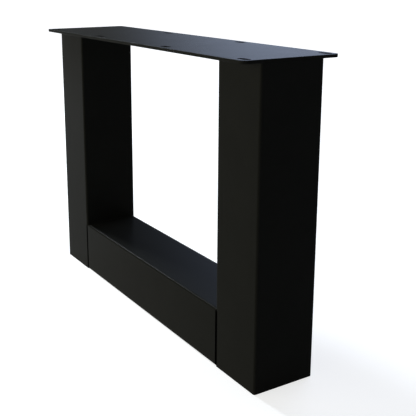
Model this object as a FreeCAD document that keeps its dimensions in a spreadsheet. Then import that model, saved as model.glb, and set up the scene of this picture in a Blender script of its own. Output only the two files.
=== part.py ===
"""U-shaped table leg: box-section steel tube, welded as a U, under a slotted top plate.

Two uprights run from the floor to the top plate, and a crossbar as deep as they are is butted
between them at floor level. Millimetres, +Z up, +X along the leg's length, origin on the
floor under the middle of the leg.
"""

import FreeCAD, Part
import Sketcher

import math
import os

# Driving dimensions: the cell's alias, its value and what it measures.
DIMENSIONS = (
    ("LegLength", 560.0, "over the outer faces of the two uprights, and the top plate's length"),
    ("LegHeight", 404.0, "floor to the top plate's upper face"),
    ("UprightWidth", 84.0, "outside of an upright's tube, along the leg's length"),
    ("CrossbarHeight", 80.0, "outside of the crossbar's tube, floor to its upper face"),
    ("TubeDepth", 90.0, "outside of all three tubes, front to back"),
    ("TubeWall", 2.0, "wall of the tubes"),
    ("TubeBend", 1.0, "inside radius of the tubes' rolled corners"),
    ("PlateOverhang", 24.5, "top plate beyond the tube, on each long side"),
    ("PlateThickness", 4.0, "top plate"),
    ("PlateCorner", 8.0, "radius of the top plate's corners, seen from above"),
    ("PlateEdge", 0.4, "rounding of the top plate's rim under its coat"),
    ("SlotWidth", 9.0, "across a screw slot"),
    ("SlotTravel", 11.0, "how far a screw can shift in its slot"),
    ("SlotEdgeInset", 11.5, "middle of a slot to the plate's long edge"),
    ("SlotEndInset", 14.0, "middle of an outer slot to the plate's short edge"),
    ("InnerSlotSpacing", 192.0, "between the two inner slots of one edge"),
    ("FootThickness", 3.0, "plate that closes an upright's lower end"),
    ("FootClearance", 0.2, "weld gap round a closing plate"),
)

# Sizes that follow from the driving dimensions.
TUBE_CORNER = "Sizes.TubeBend + Sizes.TubeWall"
UPRIGHT_HEIGHT = "Sizes.LegHeight - Sizes.PlateThickness"
UPRIGHT_OFFSET = "(Sizes.LegLength - Sizes.UprightWidth) / 2"
CROSSBAR_LENGTH = "Sizes.LegLength - 2 * Sizes.UprightWidth"
PLATE_WIDTH = "Sizes.TubeDepth + 2 * Sizes.PlateOverhang"
FOOT_WIDTH = "Sizes.UprightWidth - 2 * Sizes.TubeWall - 2 * Sizes.FootClearance"
FOOT_DEPTH = "Sizes.TubeDepth - 2 * Sizes.TubeWall - 2 * Sizes.FootClearance"
OUTER_SLOT_SPACING = "Sizes.LegLength - 2 * Sizes.SlotEndInset"
INNER_SLOT_SPACING = "Sizes.InnerSlotSpacing"
SLOT_ROW_SPACING = f"{PLATE_WIDTH} - 2 * Sizes.SlotEdgeInset"

UP = FreeCAD.Vector(0, 0, 1)
QUARTER_TURN = math.pi / 2
START, END, CENTRE = 1, 2, 3
SKETCH_ORIGIN = (-1, 1)


def dimension_sheet(doc):
    """Sheet of driving dimensions: what each measures, and its value under its alias."""
    sheet = doc.addObject("Spreadsheet::Sheet", "Sizes")
    for row, (alias, value, meaning) in enumerate(DIMENSIONS, start=1):
        sheet.set(f"A{row}", meaning)
        sheet.set(f"B{row}", str(value))
        sheet.setAlias(f"B{row}", alias)
    doc.recompute()
    return sheet


def new_body(doc, label, offset_x="0", offset_z="0"):
    """Empty sub-part, placed along the leg and above the floor."""
    body = doc.addObject("PartDesign::Body", label)
    body.Label = label
    body.setExpression("Placement.Base.x", offset_x)
    body.setExpression("Placement.Base.z", offset_z)
    return body


def new_sketch(body, name, plane_role):
    """Empty sketch on one of the sub-part's own origin planes."""
    sketch = body.newObject("Sketcher::SketchObject", name)
    plane = next(item for item in body.Origin.OriginFeatures if item.Role == plane_role)
    sketch.AttachmentSupport = [(plane, "")]
    sketch.MapMode = "FlatFace"
    return sketch


def length_of(sketch, expression):
    """Present value, in millimetres, of an expression on the sheet."""
    return float(sketch.evalExpression(expression))


def drive(sketch, name, expression, kind, *ends):
    """Named dimension between sketch points, tied to the sheet."""
    index = sketch.addConstraint(Sketcher.Constraint(kind, *ends, length_of(sketch, expression)))
    sketch.renameConstraint(index, name)
    sketch.setExpression(f"Constraints.{name}", expression)


def join_loop(sketch, arcs, lines):
    """Closes arcs and lines into one smooth outline: arc, line, next arc, next line, and round."""
    for arc, line, next_arc in zip(arcs, lines, arcs[1:] + arcs[:1]):
        sketch.addConstraint(Sketcher.Constraint("Tangent", arc, END, line, START))
        sketch.addConstraint(Sketcher.Constraint("Tangent", line, END, next_arc, START))
    for arc in arcs[1:]:
        sketch.addConstraint(Sketcher.Constraint("Equal", arcs[0], arc))


def rounded_rectangle(sketch, name, width, depth, radius):
    """Rounded rectangle about the sketch's origin; its sizes are expressions on the sheet."""
    corner = length_of(sketch, radius)
    reach_x = length_of(sketch, width) / 2 - corner
    reach_y = length_of(sketch, depth) / 2 - corner
    centres = [FreeCAD.Vector(x * reach_x, y * reach_y, 0) for x, y in ((1, 1), (-1, 1), (-1, -1), (1, -1))]
    shapes = [
        Part.ArcOfCircle(Part.Circle(centre, UP, corner), turn * QUARTER_TURN, (turn + 1) * QUARTER_TURN)
        for turn, centre in enumerate(centres)
    ]
    arcs = [sketch.addGeometry(shape, False) for shape in shapes]
    lines = [
        sketch.addGeometry(Part.LineSegment(shape.EndPoint, following.StartPoint), False)
        for shape, following in zip(shapes, shapes[1:] + shapes[:1])
    ]
    join_loop(sketch, arcs, lines)
    top, left, bottom, right = lines
    for line in (top, bottom):
        sketch.addConstraint(Sketcher.Constraint("Horizontal", line))
    for line in (left, right):
        sketch.addConstraint(Sketcher.Constraint("Vertical", line))
    sketch.addConstraint(Sketcher.Constraint("Symmetric", arcs[0], CENTRE, arcs[2], CENTRE, *SKETCH_ORIGIN))
    drive(sketch, f"{name}Width", width, "DistanceX", left, START, right, START)
    drive(sketch, f"{name}Depth", depth, "DistanceY", bottom, START, top, START)
    drive(sketch, f"{name}Corner", radius, "Radius", arcs[0])


def slot_outline(sketch, spacing_x, spacing_y):
    """Slot along the leg's length, at the pattern's corner nearest the leg's left front end."""
    centre_x = -length_of(sketch, spacing_x) / 2
    centre_y = -length_of(sketch, spacing_y) / 2
    half_travel = length_of(sketch, "Sizes.SlotTravel / 2")
    end_radius = length_of(sketch, "Sizes.SlotWidth / 2")
    right_circle = Part.Circle(FreeCAD.Vector(centre_x + half_travel, centre_y, 0), UP, end_radius)
    left_circle = Part.Circle(FreeCAD.Vector(centre_x - half_travel, centre_y, 0), UP, end_radius)
    right_shape = Part.ArcOfCircle(right_circle, -QUARTER_TURN, QUARTER_TURN)
    left_shape = Part.ArcOfCircle(left_circle, QUARTER_TURN, 3 * QUARTER_TURN)
    right = sketch.addGeometry(right_shape, False)
    left = sketch.addGeometry(left_shape, False)
    back = sketch.addGeometry(Part.LineSegment(right_shape.EndPoint, left_shape.StartPoint), False)
    front = sketch.addGeometry(Part.LineSegment(left_shape.EndPoint, right_shape.StartPoint), False)
    join_loop(sketch, [right, left], [back, front])
    sketch.addConstraint(Sketcher.Constraint("Horizontal", back))
    drive(sketch, "EndRadius", "Sizes.SlotWidth / 2", "Radius", right)
    drive(sketch, "Travel", "Sizes.SlotTravel", "DistanceX", left, CENTRE, right, CENTRE)
    reach_x = f"({spacing_x}) / 2 + Sizes.SlotTravel / 2"
    drive(sketch, "ReachX", reach_x, "DistanceX", left, CENTRE, *SKETCH_ORIGIN)
    drive(sketch, "ReachY", f"({spacing_y}) / 2", "DistanceY", left, CENTRE, *SKETCH_ORIGIN)


def padded(body, sketch, length, side_type="One side"):
    """Solid drawn out of a sketch by a length on the sheet."""
    pad = body.newObject("PartDesign::Pad", f"{sketch.Name}Pad")
    pad.Profile = sketch
    pad.SideType = side_type
    pad.setExpression("Length", length)
    sketch.Visibility = False
    return pad


def tube_section(body, plane_role, width, depth):
    """Section of a tube: two rounded rectangles, a wall apart all round."""
    sketch = new_sketch(body, f"{body.Name}Section", plane_role)
    rounded_rectangle(sketch, "Outer", width, depth, TUBE_CORNER)
    bore_width, bore_depth = (f"{side} - 2 * Sizes.TubeWall" for side in (width, depth))
    rounded_rectangle(sketch, "Inner", bore_width, bore_depth, "Sizes.TubeBend")
    return sketch


def upright(doc, label, offset_x):
    """Tube from the floor to the underside of the top plate."""
    body = new_body(doc, label, offset_x=offset_x)
    section = tube_section(body, "XY_Plane", "Sizes.UprightWidth", "Sizes.TubeDepth")
    padded(body, section, UPRIGHT_HEIGHT)
    return body


def crossbar(doc, label):
    """Tube along the floor, butted against the inner faces of both uprights."""
    body = new_body(doc, label, offset_z="Sizes.CrossbarHeight / 2")
    section = tube_section(body, "YZ_Plane", "Sizes.TubeDepth", "Sizes.CrossbarHeight")
    padded(body, section, CROSSBAR_LENGTH, side_type="Symmetric")
    return body


def foot_plate(doc, label, offset_x):
    """Plate that closes an upright's lower end, flush with the tube's end."""
    body = new_body(doc, label, offset_x=offset_x)
    sketch = new_sketch(body, f"{body.Name}Outline", "XY_Plane")
    rounded_rectangle(sketch, "Plate", FOOT_WIDTH, FOOT_DEPTH, "Sizes.TubeBend")
    padded(body, sketch, "Sizes.FootThickness")
    return body


def rim_edges(plate):
    """Names of the edges round a flat plate's upper and lower faces: all those that lie level."""
    return [
        f"Edge{number}" for number, edge in enumerate(plate.Edges, start=1)
        if edge.BoundBox.ZLength < plate.BoundBox.ZLength / 2
    ]


def screw_slots(doc, body, name, spacing_x, spacing_y):
    """Four through slots at the corners of a rectangle: one is cut, then repeated both ways."""
    sketch = new_sketch(body, f"{name}Outline", "XY_Plane")
    slot_outline(sketch, spacing_x, spacing_y)
    pocket = body.newObject("PartDesign::Pocket", f"{name}Cut")
    pocket.Profile = sketch
    pocket.Type = "ThroughAll"
    pocket.Reversed = True
    sketch.Visibility = False
    doc.recompute()
    pattern = body.newObject("PartDesign::LinearPattern", f"{name}Pattern")
    pattern.Originals = [pocket]
    pattern.Direction = (sketch, ["H_Axis"])
    pattern.setExpression("Length", spacing_x)
    pattern.Occurrences = 2
    pattern.Direction2 = (sketch, ["V_Axis"])
    pattern.setExpression("Length2", spacing_y)
    pattern.Occurrences2 = 2
    body.Tip = pattern
    doc.recompute()


def top_plate(doc, label):
    """Flat plate over the uprights, flush with their ends, with slots along both long edges."""
    body = new_body(doc, label, offset_z=UPRIGHT_HEIGHT)
    sketch = new_sketch(body, "PlateOutline", "XY_Plane")
    rounded_rectangle(sketch, "Plate", "Sizes.LegLength", PLATE_WIDTH, "Sizes.PlateCorner")
    pad = padded(body, sketch, "Sizes.PlateThickness")
    doc.recompute()
    rim = body.newObject("PartDesign::Fillet", "PlateRim")
    rim.Base = (pad, rim_edges(pad.Shape))
    rim.setExpression("Radius", "Sizes.PlateEdge")
    doc.recompute()
    screw_slots(doc, body, "OuterSlot", OUTER_SLOT_SPACING, SLOT_ROW_SPACING)
    screw_slots(doc, body, "InnerSlot", INNER_SLOT_SPACING, SLOT_ROW_SPACING)
    return body


def check(doc, bodies):
    """Stops at a failed feature or sketch, or at a sub-part that isn't one sound solid."""
    for item in doc.Objects:
        if "Invalid" in item.State or "Error" in item.State:
            raise RuntimeError(f"{item.Label} failed: {item.State}")
    for body in bodies:
        if body.Shape.isNull() or not body.Shape.isValid() or len(body.Shape.Solids) != 1:
            raise RuntimeError(f"{body.Label} isn't one sound solid")


def main():
    doc = FreeCAD.newDocument("table_leg")
    dimension_sheet(doc)
    bodies = [
        upright(doc, "left_upright", f"-{UPRIGHT_OFFSET}"),
        upright(doc, "right_upright", UPRIGHT_OFFSET),
        crossbar(doc, "crossbar"),
        top_plate(doc, "top_plate"),
        foot_plate(doc, "left_foot_plate", f"-{UPRIGHT_OFFSET}"),
        foot_plate(doc, "right_foot_plate", UPRIGHT_OFFSET),
    ]
    doc.recompute()
    check(doc, bodies)
    os.makedirs("parts", exist_ok=True)
    for body in bodies:
        body.Shape.exportStep(f"parts/{body.Label}.step")
        box = body.Shape.optimalBoundingBox()
        print(
            f"{body.Label}: {body.Shape.Volume:.0f} mm3, "
            f"x {box.XMin:.1f} to {box.XMax:.1f}, "
            f"y {box.YMin:.1f} to {box.YMax:.1f}, "
            f"z {box.ZMin:.1f} to {box.ZMax:.1f}"
        )


main()
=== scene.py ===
"""Looks of a U-shaped table leg: satin black powder coat over welded box-section steel.

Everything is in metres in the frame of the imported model: +X along the leg, +Z up, floor at zero.
"""

import math

import bpy
import numpy as np
from mathutils import Euler, Matrix, Vector


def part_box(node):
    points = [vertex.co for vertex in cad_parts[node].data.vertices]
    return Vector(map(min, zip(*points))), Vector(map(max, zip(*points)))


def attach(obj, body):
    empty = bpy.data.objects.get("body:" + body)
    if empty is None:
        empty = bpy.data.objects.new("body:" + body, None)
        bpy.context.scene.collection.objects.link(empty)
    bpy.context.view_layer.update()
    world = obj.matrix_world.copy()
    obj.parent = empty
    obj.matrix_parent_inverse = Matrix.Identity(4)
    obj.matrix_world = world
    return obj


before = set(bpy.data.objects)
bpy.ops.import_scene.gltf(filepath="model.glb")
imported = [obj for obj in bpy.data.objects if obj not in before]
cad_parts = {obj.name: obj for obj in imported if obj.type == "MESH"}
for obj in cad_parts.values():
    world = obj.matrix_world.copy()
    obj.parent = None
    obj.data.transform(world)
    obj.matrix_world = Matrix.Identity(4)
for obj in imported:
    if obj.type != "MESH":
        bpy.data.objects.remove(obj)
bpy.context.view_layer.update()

# Camera, from a perspective fit of the photograph's edges. The picture was cut off centre: the fit's own
# lens centre is higher and further left, and this one gives up a pixel for a smaller shift of the lens.
CAMERA_PLACE = (0.94216, -0.54798, 0.49620)
CAMERA_AZIMUTH = 58.878
CAMERA_ELEVATION = 13.472
CAMERA_ROLL = -0.145
FOCAL_PX = 763.85
LENS_CENTRE_PX = (180.0, 155.0)
PICTURE_SIDE_PX = 416
SENSOR_MM = 36.0

# Powder coat: a dark, soft gloss with a fine orange peel.
COAT_COLOUR = (0.0105, 0.0106, 0.0093)
COAT_COLOUR_PALE = (0.0135, 0.0136, 0.0120)
# Painted shade: near-black coat colour for the grooves where the crossbar meets the uprights.
PAINTED_GROOVE_SHADE_COLOUR = (0.0006, 0.0006, 0.0005)
COAT_IOR = 1.05
COAT_ROUGHNESS = 0.25
COAT_ROUGHNESS_SPREAD = 0.05
CREVICE_ROUGHNESS = 0.95
CLOUD_SIZE = 0.045
CLOUD_DETAIL = 3.0
CLOUD_FALLOFF = 0.5
CLOUD_MIDDLE = 0.5
PEEL_SIZE = 0.0013
PEEL_DETAIL = 1.0
PEEL_FALLOFF = 0.4
PEEL_HEIGHT = 0.00002
GRAIN_SIZE = 0.0004
GRAIN_DETAIL = 0.0
GRAIN_FALLOFF = 0.5
GRAIN_SHARE = 0.35

# Grooves between the crossbar and the uprights, where the coat carries near-black painted shade: where they
# start and end along the leg, and their top.
GROOVE_START = (0.1944, 0.1952)
GROOVE_END = (0.2000, 0.1992)
GROOVE_TOP = (0.0785, 0.0765)

# Weld beads across the inner corners. The ripple's pitch is a length, its depth and the drawn-in ends are
# shares of the leg, and its lag is a share of the pitch.
BEAD_LEG = 0.0023
BEAD_HALF_LENGTH = 0.040
BEAD_HOLLOW = 0.16
BEAD_PITCH = 0.0017
BEAD_RIPPLE = 0.09
BEAD_LAG = 0.45
BEAD_END = 0.65
BEAD_END_POWER = 40
BEAD_SINK = 0.0003
BEAD_STATIONS = 481
BEAD_SIDES = 13

# Studio: a pale floor and four white boards far from the leg. The papers show brighter from the near glow,
# where the leg's shadow lies, to the far glow.
FLOOR_SIDE = 60.0
PAPER_COLOUR = 0.45
NEAR_GLOW = 0.74
FAR_GLOW = 0.96
GLOW_REACH = (0.9, 3.0)
BOARD_PLACES = ((14.0, 0.0), (-14.0, 0.0), (0.0, 12.0), (0.0, -12.0))
BOARD_HALF_WIDTH = 4.9
BOARD_HEIGHT = 3.2

# Room light. The window's pairs are directions in which it goes from dark to full, and its haze leaves the
# low share of its light near the horizon.
ROOM_COLOUR = (0.95, 0.98, 1.0)
ROOM_LEVEL = 0.12
WINDOW_COLOUR = (0.60, 0.72, 1.0)
WINDOW_LEVEL = 5.6
WINDOW_BACK = (0.42, 0.63)
WINDOW_LEFT = (0.15, -0.35)
WINDOW_TOP = (0.85, 0.50)
WINDOW_HAZE = (0.12, 0.45)
WINDOW_LOW_SHARE = 0.20

# Lamps, in watts; both face a point low on the leg.
LAMP_TARGET = (0.0, 0.0, 0.1)
KEY_PLACE = (-2.1, -0.22, 1.75)
KEY_SIZE = (0.30, 0.8)
KEY_POWER = 68.0
KEY_COLOUR = (0.84, 0.92, 1.0)
FILL_PLACE = (-0.5, -2.3, 0.55)
FILL_SIZE = (3.0, 1.0)
FILL_POWER = 35.5
FILL_COLOUR = (1.0, 0.95, 0.70)


class Wire:
    """A socket whose arithmetic adds Math nodes to its tree."""

    def __init__(self, tree, socket):
        self.tree = tree
        self.socket = socket

    def math(self, operation, *values):
        node = self.tree.nodes.new("ShaderNodeMath")
        node.operation = operation
        for port, value in zip(node.inputs, values):
            feed(self.tree, port, value)
        return Wire(self.tree, node.outputs[0])

    def __add__(self, other):
        return self.math("ADD", self, other)

    __radd__ = __add__

    def __sub__(self, other):
        return self.math("SUBTRACT", self, other)

    def __rsub__(self, other):
        return self.math("SUBTRACT", other, self)

    def __mul__(self, other):
        return self.math("MULTIPLY", self, other)

    __rmul__ = __mul__

    def __abs__(self):
        return self.math("ABSOLUTE", self)

    def peak(self, other):
        return self.math("MAXIMUM", self, other)


def feed(tree, port, value):
    """Links a wire to an input, or sets the input to a plain value."""
    if isinstance(value, Wire):
        tree.links.new(value.socket, port)
    else:
        port.default_value = value


class Shader:
    """Node tree of a material or world, with one way to add any node."""

    def __init__(self, owner):
        owner.use_nodes = True
        self.tree = owner.node_tree
        self.tree.nodes.clear()

    def node(self, kind, settings=None, outlet=0, **inputs):
        """Adds a node. An input is named with _ for each space, or at0, at1 and so on for its number."""
        made = self.tree.nodes.new("ShaderNode" + kind)
        for name, value in (settings or {}).items():
            setattr(made, name, value)
        for name, value in inputs.items():
            number = name.removeprefix("at")
            port = int(number) if number.isdigit() else name.replace("_", " ")
            feed(self.tree, made.inputs[port], value)
        return Wire(self.tree, made.outputs[outlet]) if made.outputs else None

    def axes(self, vector, names):
        """The named parts of a vector."""
        return [self.node("SeparateXYZ", outlet=name, Vector=vector) for name in names]

    def noise(self, place, size, detail, falloff):
        """Even noise of a size, with finer layers that fall off."""
        return self.node("TexNoise", Vector=place, Scale=1 / size, Detail=detail, Roughness=falloff)

    def fade(self, value, start, end):
        """Smooth rise from 0 where the value is at start to 1 where it is at end."""
        share = (value - start) * (1 / (end - start))
        return self.node("MapRange", {"interpolation_type": "SMOOTHSTEP"}, Value=share)

    def mixed(self, share, first, second):
        """Colour between two, by a share from 0 to 1."""
        return self.node("Mix", {"data_type": "RGBA"}, 2, at0=share, at6=opaque(first), at7=opaque(second))


def opaque(colour):
    """A colour with full alpha, or a wire as it is."""
    return colour if isinstance(colour, Wire) else (*colour, 1)


def powder_coat(name):
    """Cured powder: clouds of slightly uneven gloss and tone, an orange peel with a finer grain on it, and
    painted shade where the crossbar meets the uprights: the coat turns near-black and rougher in those
    grooves."""
    material = bpy.data.materials.new(name)
    shader = Shader(material)
    place = shader.node("TexCoord", outlet="Object")
    x, z = shader.axes(place, "XZ")
    clouds = shader.noise(place, CLOUD_SIZE, CLOUD_DETAIL, CLOUD_FALLOFF)
    peel = shader.noise(place, PEEL_SIZE, PEEL_DETAIL, PEEL_FALLOFF)
    grain = shader.noise(place, GRAIN_SIZE, GRAIN_DETAIL, GRAIN_FALLOFF)
    along = shader.fade(abs(x), *GROOVE_START) * shader.fade(abs(x), *GROOVE_END)
    # Painted shade: the mask of the grooves between the crossbar and the uprights, where the coat turns
    # near-black and rough.
    painted_groove_shade = along * shader.fade(z, *GROOVE_TOP)
    tone = shader.mixed(painted_groove_shade, shader.mixed(clouds, COAT_COLOUR, COAT_COLOUR_PALE), PAINTED_GROOVE_SHADE_COLOUR)
    gloss = COAT_ROUGHNESS + (clouds - CLOUD_MIDDLE) * COAT_ROUGHNESS_SPREAD
    bump = shader.node("Bump", Height=peel + grain * GRAIN_SHARE, Distance=PEEL_HEIGHT, Strength=1.0)
    coat = shader.node(
        "BsdfPrincipled",
        Base_Color=tone,
        Roughness=gloss + painted_groove_shade * (CREVICE_ROUGHNESS - gloss),
        IOR=COAT_IOR,
        Normal=bump,
    )
    shader.node("OutputMaterial", Surface=coat)
    return material


def weld_bead(name, corner_x, corner_z, inward, upward, material):
    """Fillet bead along Y in the corner of two faces. Across, its radius runs from one face to the other as
    the leg less a share of sin(2a) squared, and the ring closes at a root sunk into the corner. Along, the
    radius carries a cosine ripple whose crests lag in the middle, and a high even power draws both ends in."""
    along = np.linspace(-1, 1, BEAD_STATIONS)[:, None]
    turn = np.linspace(0, math.pi / 2, BEAD_SIDES)[None, :]
    middle = np.sin(2 * turn)
    phase = along * BEAD_HALF_LENGTH / BEAD_PITCH - BEAD_LAG * middle
    swell = 1 - BEAD_HOLLOW * middle**2 + BEAD_RIPPLE * middle * np.cos(2 * math.pi * phase)
    radius = BEAD_LEG * swell * (1 - BEAD_END * along**BEAD_END_POWER)
    root = np.zeros_like(along)
    across = np.hstack([radius * np.cos(turn), root]) - BEAD_SINK
    rise = np.hstack([radius * np.sin(turn), root]) - BEAD_SINK
    length = np.broadcast_to(along * BEAD_HALF_LENGTH, across.shape)
    points = np.stack([corner_x + inward * across, length, corner_z + upward * rise], axis=-1)
    if inward * upward < 0:
        points = points[:, ::-1]
    rings = np.arange(across.size).reshape(across.shape)
    beside = np.roll(rings, -1, axis=1)
    skin = np.stack([rings[:-1], rings[1:], beside[1:], beside[:-1]], axis=-1).reshape(-1, 4)
    caps = [rings[0].tolist(), rings[-1, ::-1].tolist()]
    piece = linked(name, points.reshape(-1, 3).tolist(), skin.tolist() + caps, material)
    piece.data.polygons.foreach_set("use_smooth", np.ones(len(piece.data.polygons), dtype=bool))
    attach(piece, "root")


def weld_beads(material):
    """One bead on the crossbar and one under the plate, at each upright's inner face."""
    bar_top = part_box("crossbar")[1].z
    plate_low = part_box("top_plate")[0].z
    left_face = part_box("left_upright")[1].x
    right_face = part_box("right_upright")[0].x
    weld_bead("weld_left_crossbar", left_face, bar_top, 1, 1, material)
    weld_bead("weld_right_crossbar", right_face, bar_top, -1, 1, material)
    weld_bead("weld_left_plate", left_face, plate_low, 1, -1, material)
    weld_bead("weld_right_plate", right_face, plate_low, -1, -1, material)


def linked(name, points, faces, material):
    """New mesh object in the scene, with one material."""
    mesh = bpy.data.meshes.new(name)
    mesh.from_pydata(points, [], faces)
    mesh.materials.append(material)
    obj = bpy.data.objects.new(name, mesh)
    bpy.context.scene.collection.objects.link(obj)
    return obj


def seen_rays(shader):
    """1 for rays that show a surface directly, in a gloss or through glass, and 0 for the rest."""
    camera_ray = shader.node("LightPath", outlet="Is Camera Ray")
    glossy_ray = shader.node("LightPath", outlet="Is Glossy Ray")
    through_ray = shader.node("LightPath", outlet="Is Transmission Ray")
    return camera_ray.peak(glossy_ray).peak(through_ray)


def paper(name):
    """Pale paper that shades as paper does and shows white, a little less so close to the leg."""
    material = bpy.data.materials.new(name)
    shader = Shader(material)
    place = shader.node("TexCoord", outlet="Object")
    distance = shader.node("VectorMath", {"operation": "LENGTH"}, "Value", at0=place)
    glow = NEAR_GLOW + shader.fade(distance, *GLOW_REACH) * (FAR_GLOW - NEAR_GLOW)
    sheet = shader.node("BsdfDiffuse", Color=(PAPER_COLOUR, PAPER_COLOUR, PAPER_COLOUR, 1))
    shine = shader.node("Emission", Color=(1, 1, 1, 1), Strength=seen_rays(shader) * glow)
    shader.node("OutputMaterial", Surface=shader.node("AddShader", at0=sheet, at1=shine))
    return material


def studio():
    """Wide floor that takes the leg's shadow, and a white board far off on each of its four sides."""
    half = FLOOR_SIDE / 2
    square = [(-half, -half, 0), (half, -half, 0), (half, half, 0), (-half, half, 0)]
    white = paper("white_paper")
    linked("floor", square, [(0, 1, 2, 3)], white)
    points = []
    for x, y in BOARD_PLACES:
        along = (BOARD_HALF_WIDTH, 0) if x == 0 else (0, BOARD_HALF_WIDTH)
        for side, height in ((-1, 0), (1, 0), (1, BOARD_HEIGHT), (-1, BOARD_HEIGHT)):
            points.append((x + side * along[0], y + side * along[1], height))
    faces = [tuple(range(start, start + 4)) for start in range(0, len(points), 4)]
    linked("boards", points, faces, white)


def room():
    """Dim room with one wide cool window behind the leg, towards -X and +Y: its edges fade smoothly, and its
    lower part is hazier."""
    made = bpy.data.worlds.new("studio")
    bpy.context.scene.world = made
    shader = Shader(made)
    way = shader.node("TexCoord", outlet="Generated")
    x, y, z = shader.axes(way, "XYZ")
    pane = shader.fade(y, *WINDOW_BACK) * shader.fade(x, *WINDOW_LEFT) * shader.fade(z, *WINDOW_TOP)
    window = pane * (WINDOW_LOW_SHARE + shader.fade(z, *WINDOW_HAZE) * (1 - WINDOW_LOW_SHARE))
    walls = shader.node("Background", Color=(*ROOM_COLOUR, 1), Strength=ROOM_LEVEL)
    light = shader.node("Background", Color=(*WINDOW_COLOUR, 1), Strength=window * WINDOW_LEVEL)
    shader.node("OutputWorld", Surface=shader.node("AddShader", at0=walls, at1=light))


def softbox(name, place, size, power, colour):
    """Rectangular soft light that faces the leg."""
    data = bpy.data.lights.new(name, "AREA")
    data.shape = "RECTANGLE"
    data.size, data.size_y = size
    data.energy = power
    data.color = colour
    obj = bpy.data.objects.new(name, data)
    bpy.context.scene.collection.objects.link(obj)
    obj.location = place
    obj.rotation_euler = (Vector(LAMP_TARGET) - Vector(place)).to_track_quat("-Z", "Y").to_euler()


def camera():
    """Camera at the photograph's place; the lens is shifted because the picture was cut off centre."""
    data = bpy.data.cameras.new("camera")
    data.sensor_width = SENSOR_MM
    data.lens = FOCAL_PX / PICTURE_SIDE_PX * SENSOR_MM
    middle = PICTURE_SIDE_PX / 2
    data.shift_x = (middle - LENS_CENTRE_PX[0]) / PICTURE_SIDE_PX
    data.shift_y = (LENS_CENTRE_PX[1] - middle) / PICTURE_SIDE_PX
    obj = bpy.data.objects.new("camera", data)
    bpy.context.scene.collection.objects.link(obj)
    tilt = Euler((math.radians(90 - CAMERA_ELEVATION), 0, math.radians(CAMERA_AZIMUTH)), "XYZ").to_matrix()
    roll = Matrix.Rotation(math.radians(CAMERA_ROLL), 3, "Z")
    obj.matrix_world = Matrix.Translation(CAMERA_PLACE) @ (tilt @ roll).to_4x4()
    bpy.context.scene.camera = obj


coat = powder_coat("black_powder_coat")
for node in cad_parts.values():
    node.data.materials.clear()
    node.data.materials.append(coat)
weld_beads(coat)
studio()
room()
softbox("key", KEY_PLACE, KEY_SIZE, KEY_POWER, KEY_COLOUR)
softbox("fill", FILL_PLACE, FILL_SIZE, FILL_POWER, FILL_COLOUR)
camera()
bpy.context.scene.view_settings.view_transform = "Standard"
